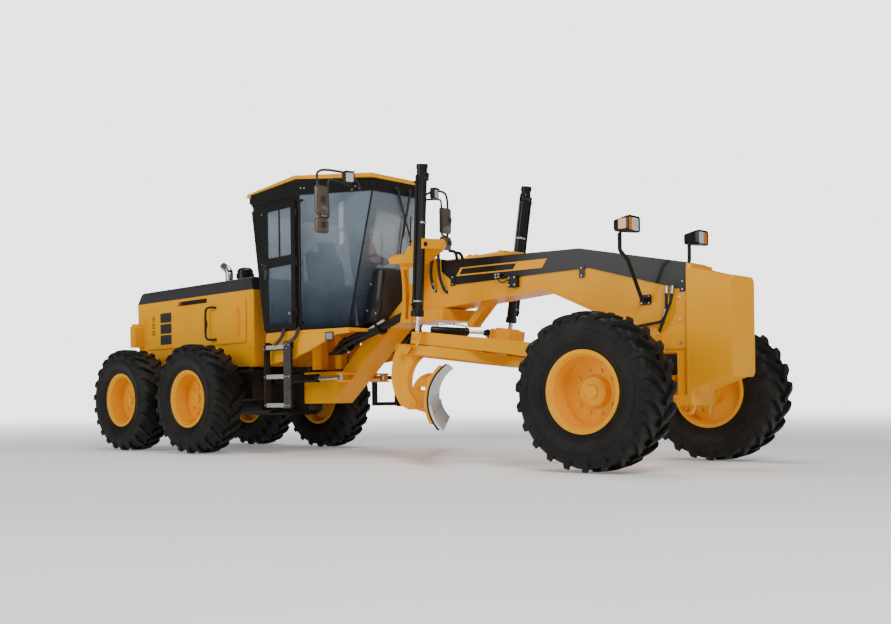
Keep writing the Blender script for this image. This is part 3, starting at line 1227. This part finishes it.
# Stage ----------------------------------------------------------------------------------------
class GRADER_OT_stage(bpy.types.Operator):
    """Adds the pale floor, the soft lights and the camera"""

    bl_idname = "grader.stage"
    bl_label = "Floor, lights and camera"

    def execute(self, context):
        mesh = bpy.data.meshes.new("studio_floor")
        mesh.from_pydata([(-40, -40, 0), (40, -40, 0), (40, 40, 0), (-40, 40, 0)], [], [(0, 1, 2, 3)])
        mesh.materials.append(floor_finish("studio_floor", (0.90, 0.90, 0.90)))
        floor = bpy.data.objects.new("studio_floor", mesh)
        context.scene.collection.objects.link(floor)

        world = bpy.data.worlds.new("studio")
        world.use_nodes = True
        tree = world.node_tree
        soft = tree.nodes["Background"]
        soft.inputs["Color"].default_value = (0.96, 0.98, 1.0, 1.0)
        soft.inputs["Strength"].default_value = 0.10
        paper = tree.nodes.new("ShaderNodeBackground")
        paper.inputs["Color"].default_value = (1.0, 1.0, 1.0, 1.0)
        paper.inputs["Strength"].default_value = 3.0
        seen = tree.nodes.new("ShaderNodeLightPath")
        choice = tree.nodes.new("ShaderNodeMixShader")
        tree.links.new(seen.outputs["Is Camera Ray"], choice.inputs["Fac"])
        tree.links.new(soft.outputs["Background"], choice.inputs[1])
        tree.links.new(paper.outputs["Background"], choice.inputs[2])
        tree.links.new(choice.outputs["Shader"], tree.nodes["World Output"].inputs["Surface"])
        context.scene.world = world

        # name, place, power, size, colour; each aims at the middle of the machine, 1.2 m up
        for name, place, power, size, tone in (
            ("key", (11.0, -7.0, 10.0), 1050.0, 5.0, (1.0, 0.98, 0.95)),
            ("side", (-4.0, -13.0, 6.0), 600.0, 6.0, (1.0, 1.0, 1.0)),
            ("top", (0.0, 1.0, 13.0), 760.0, 8.0, (1.0, 1.0, 1.0)),
            ("back", (-12.0, 8.0, 8.0), 260.0, 6.0, (0.95, 0.97, 1.0)),
        ):
            light = bpy.data.lights.new(name, "AREA")
            light.energy = power
            light.size = size
            light.color = tone
            lamp = bpy.data.objects.new(name, light)
            lamp.location = place
            aim = -np.array(place) + np.array([0, 0, 1.2])
            lamp.rotation_euler = (
                math.atan2(math.hypot(aim[0], aim[1]), -aim[2]), 0.0, math.atan2(aim[1], aim[0]) - math.pi / 2,
            )
            context.scene.collection.objects.link(lamp)

        # the camera that fits the wheels and frame lines of the photograph
        lens_data = bpy.data.cameras.new("camera")
        lens_data.sensor_width = 36.0
        lens_data.lens = 41.79
        lens_data.shift_x = 0.1296
        lens_data.shift_y = 0.1008
        lens_data.clip_end = 200.0
        camera = bpy.data.objects.new("camera", lens_data)
        camera.location = (8.443, -8.599, 0.618)
        camera.rotation_euler = (math.radians(90), math.radians(0.693), math.radians(47.15))
        context.scene.collection.objects.link(camera)
        context.scene.camera = camera
        return {"FINISHED"}


class GRADER_PT_panel(bpy.types.Panel):
    bl_label = "Motor grader"
    bl_idname = "GRADER_PT_panel"
    bl_space_type = "VIEW_3D"
    bl_region_type = "UI"
    bl_category = "Grader"

    def draw(self, context):
        for group in (context.scene.grader_paint, context.scene.grader_tyre, context.scene.grader_trim):
            column = self.layout.column(align=True)
            for name in group.__annotations__:
                column.prop(group, name)
        for operator in OPERATORS:
            self.layout.operator(operator.bl_idname)


GROUPS = (("grader_paint", GraderPaint), ("grader_tyre", GraderTyre), ("grader_trim", GraderTrim))
OPERATORS = (
    GRADER_OT_stage, GRADER_OT_finishes, GRADER_OT_tyres, GRADER_OT_lamps, GRADER_OT_cab_shell,
    GRADER_OT_cab_trim, GRADER_OT_mirrors, GRADER_OT_seat, GRADER_OT_valve_cover, GRADER_OT_stripes,
    GRADER_OT_bolts, GRADER_OT_hoses, GRADER_OT_cylinder_trim, GRADER_OT_ladder_trim, GRADER_OT_hood_trim,
)


def register():
    for name, group in GROUPS:
        bpy.utils.register_class(group)
        setattr(bpy.types.Scene, name, PointerProperty(type=group))
    for operator in OPERATORS:
        bpy.utils.register_class(operator)
    bpy.utils.register_class(GRADER_PT_panel)


def unregister():
    bpy.utils.unregister_class(GRADER_PT_panel)
    for operator in reversed(OPERATORS):
        bpy.utils.unregister_class(operator)
    for name, group in reversed(GROUPS):
        delattr(bpy.types.Scene, name)
        bpy.utils.unregister_class(group)


def main():
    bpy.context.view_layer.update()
    register()
    for operator in OPERATORS:
        group, action = operator.bl_idname.split(".")
        getattr(getattr(bpy.ops, group), action)()


if __name__ == "__main__":
    main()
